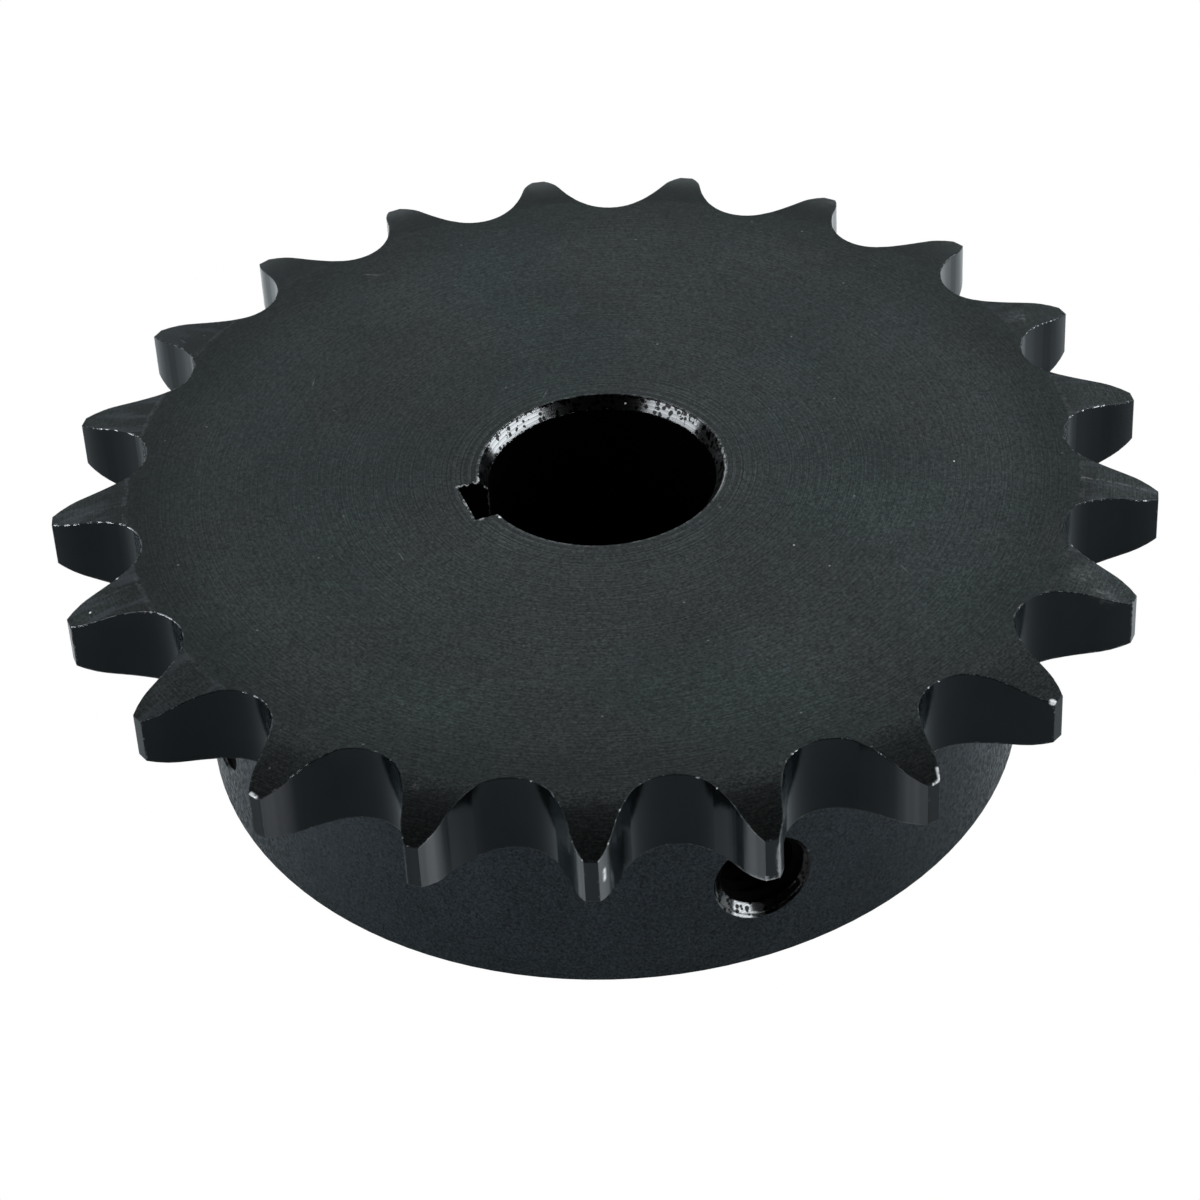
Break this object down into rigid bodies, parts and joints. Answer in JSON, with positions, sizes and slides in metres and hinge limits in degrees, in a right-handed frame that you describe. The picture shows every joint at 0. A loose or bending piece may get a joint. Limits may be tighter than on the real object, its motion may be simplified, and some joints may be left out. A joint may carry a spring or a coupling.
{
  "type": "chain sprocket",
  "caption": "Steel roller-chain sprocket with a one-sided hub, a keyed bore and set-screw holes, in black oxide.",
  "frame": {"origin": "on the bore's axis, in the plane of the hub's end face, which is what the part rests on", "axes": "+Z along the bore's axis from the hub's end face towards the toothed plate, +X through the middle of the keyway and the set-screw hole over it, +Y through the other set-screw hole"},
  "size_m": [0.0914, 0.0916, 0.0254],
  "materials": {
    "blackened_steel": "black oxide over turned and hobbed steel, dark charcoal with a slight green-grey tint and fine concentric turning marks"
  },
  "bodies": {
    "root": {"sprocket": "blackened_steel"}
  },
  "joints": []
}
